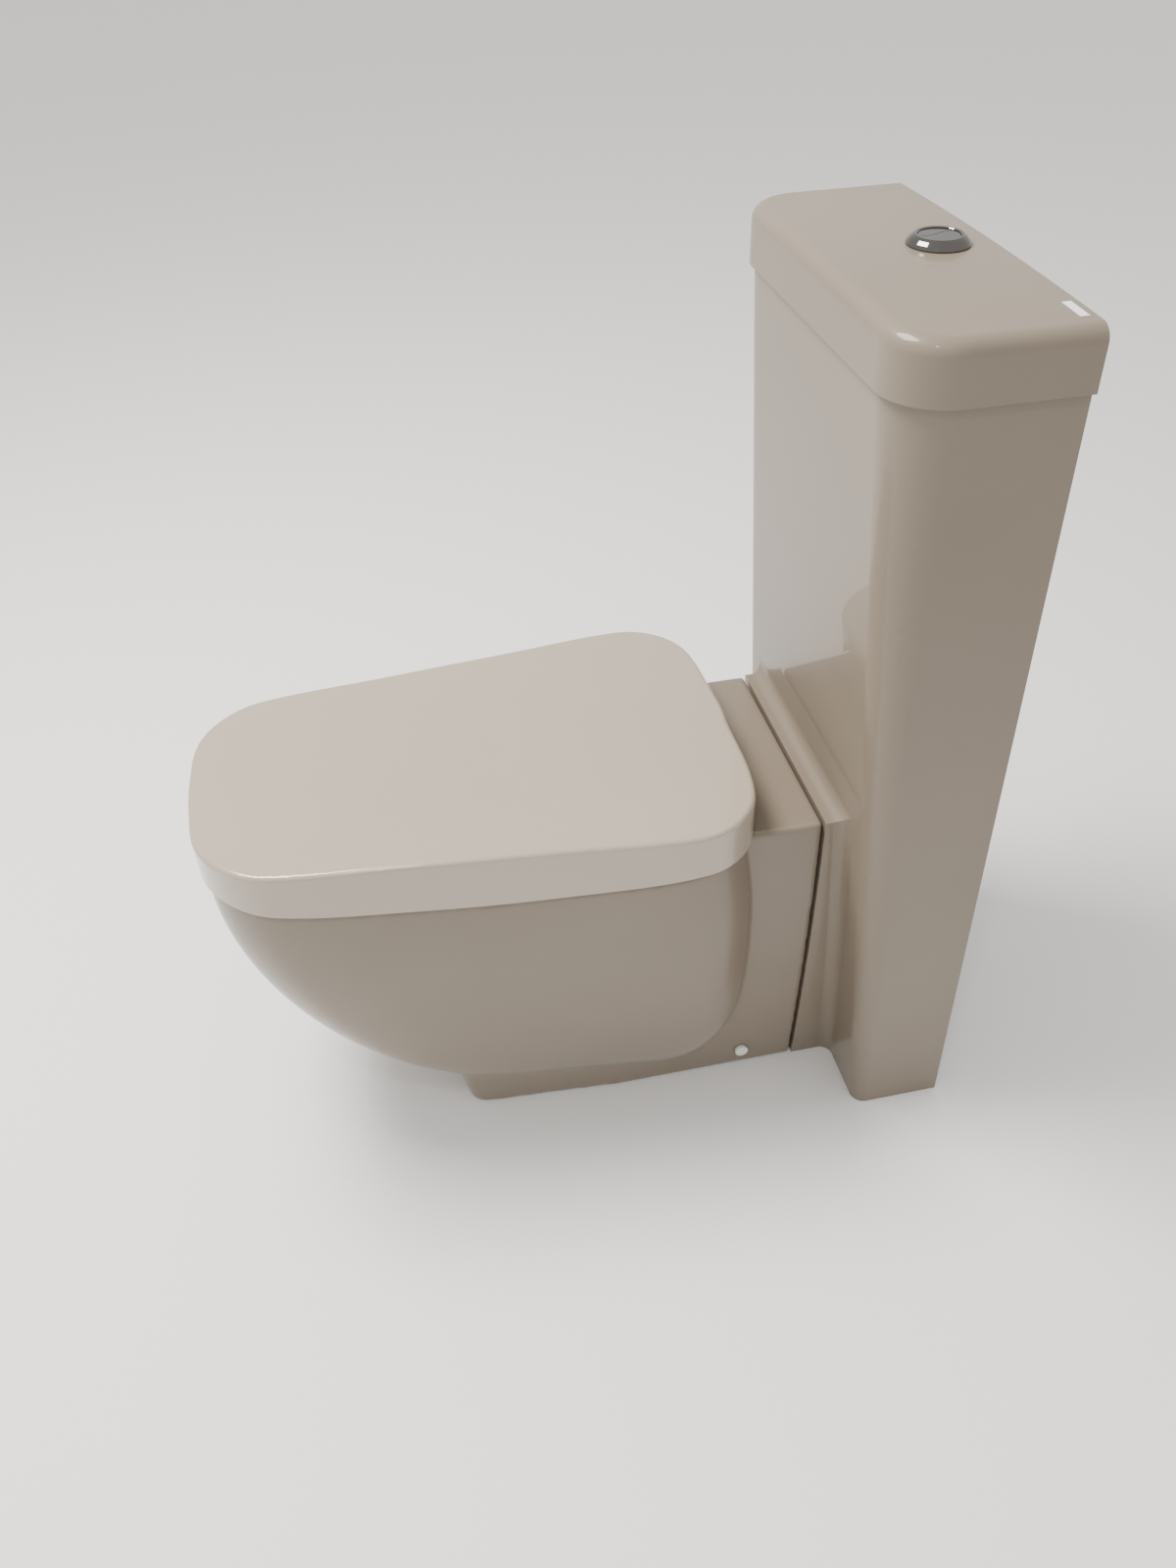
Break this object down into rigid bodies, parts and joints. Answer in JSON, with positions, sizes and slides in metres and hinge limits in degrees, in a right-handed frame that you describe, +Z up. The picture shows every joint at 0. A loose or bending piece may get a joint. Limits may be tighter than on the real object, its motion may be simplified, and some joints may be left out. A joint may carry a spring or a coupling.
{
  "type": "close coupled toilet",
  "caption": "Close coupled toilet with a floor-reaching tapered cistern, wrap-over seat lid and dual flush button.",
  "frame": {"origin": "on the floor, at the centre of the bounding box's base", "axes": "+Z up, -Y to the front of the pan, +Y to the wall, +X to the left of someone seated"},
  "size_m": [0.386, 0.724, 0.856],
  "materials": {
    "glazed_clay": "high gloss glaze",
    "seat_plastic": "polished thermoset plastic",
    "chrome": "polished",
    "steel": "satin",
    "white_plastic": "moulded",
    "grey_plastic": "moulded",
    "blue_plastic": "moulded",
    "cap_plastic": "gloss",
    "rubber": "matt",
    "rubber_clear": "soft, pale",
    "label": "blank, satin"
  },
  "bodies": {
    "toilet": {"pan": "glazed_clay", "cistern_body": "glazed_clay", "cistern_lid_pads": "rubber", "hinge_posts": "chrome", "hinge_base_plates": "chrome", "hinge_pins": "steel", "seat_fixing_bolts": "steel", "seat_expansion_plugs": "rubber", "flush_valve_base": "white_plastic", "flush_valve_gasket": "rubber", "flush_valve_backnut": "white_plastic", "flush_valve_cage": "white_plastic", "lever_pins": "steel", "flush_bend": "white_plastic", "flush_cone_seal": "rubber", "fill_valve_body": "white_plastic", "fill_valve_head": "grey_plastic", "fill_valve_washer": "rubber", "fill_valve_backnut": "white_plastic", "coupling_bolts": "steel", "coupling_washers": "rubber", "coupling_nuts": "white_plastic", "floor_brackets": "white_plastic", "side_screws": "steel", "side_screw_caps": "cap_plastic"},
    "seat_ring": {"seat_ring": "seat_plastic", "seat_ring_buffers": "rubber_clear"},
    "seat_lid": {"seat_lid": "seat_plastic", "seat_lid_buffers": "rubber_clear", "hinge_dampers": "grey_plastic"},
    "cistern_lid": {"cistern_lid": "glazed_clay", "lid_label": "label", "button_bezel": "chrome", "bezel_locknut": "white_plastic", "full_button_spring": "steel", "half_button_spring": "steel"},
    "full_button": {"full_flush_button": "chrome", "full_flush_rod": "white_plastic"},
    "half_button": {"half_flush_button": "chrome", "half_flush_rod": "white_plastic"},
    "full_lever": {"full_flush_lever": "blue_plastic"},
    "half_lever": {"half_flush_lever": "blue_plastic"},
    "flush_piston": {"flush_valve_piston": "blue_plastic", "flush_valve_seal": "rubber"},
    "fill_float": {"fill_valve_float": "blue_plastic"}
  },
  "joints": [
    {"name": "seat_ring_hinge", "type": "hinge", "parent": "toilet", "child": "seat_ring", "pos_m": [0, 0.145, 0.391], "axis": [-1, 0, 0], "range_deg": [0, 94]},
    {"name": "seat_lid_hinge", "type": "hinge", "parent": "seat_ring", "child": "seat_lid", "pos_m": [0, 0.145, 0.391], "axis": [1, 0, 0], "range_deg": [-95, 0]},
    {"name": "cistern_lid_lift", "type": "slide", "parent": "toilet", "child": "cistern_lid", "axis": [0, 0, 1], "range_m": [0, 0.12]},
    {"name": "full_flush_press", "type": "slide", "parent": "cistern_lid", "child": "full_button", "axis": [0, 0, -1], "range_m": [0, 0.005], "stiffness_N_per_m": 300, "springref_m": -0.005, "deforming": ["full_button_spring"]},
    {"name": "half_flush_press", "type": "slide", "parent": "cistern_lid", "child": "half_button", "axis": [0, 0, -1], "range_m": [0, 0.005], "stiffness_N_per_m": 300, "springref_m": -0.005, "deforming": ["half_button_spring"]},
    {"name": "full_lever_rock", "type": "hinge", "parent": "toilet", "child": "full_lever", "pos_m": [0.019, 0.304, 0.704], "axis": [-1, 0, 0], "range_deg": [0, 20.51]},
    {"name": "half_lever_rock", "type": "hinge", "parent": "toilet", "child": "half_lever", "pos_m": [-0.019, 0.304, 0.704], "axis": [-1, 0, 0], "range_deg": [0, 20.51]},
    {"name": "flush_piston_lift", "type": "slide", "parent": "toilet", "child": "flush_piston", "axis": [0, 0, 1], "range_m": [0, 0.01]},
    {"name": "float_rise", "type": "slide", "parent": "toilet", "child": "fill_float", "axis": [0, 0, 1], "range_m": [0, 0.05]}
  ],
  "couplings": [
    {"joint": "full_lever_rock", "follows": "full_flush_press", "rad_per_m": 71.56},
    {"joint": "half_lever_rock", "follows": "half_flush_press", "rad_per_m": 71.56},
    {"joint": "flush_piston_lift", "follows": "full_flush_press", "ratio": 2}
  ]
}
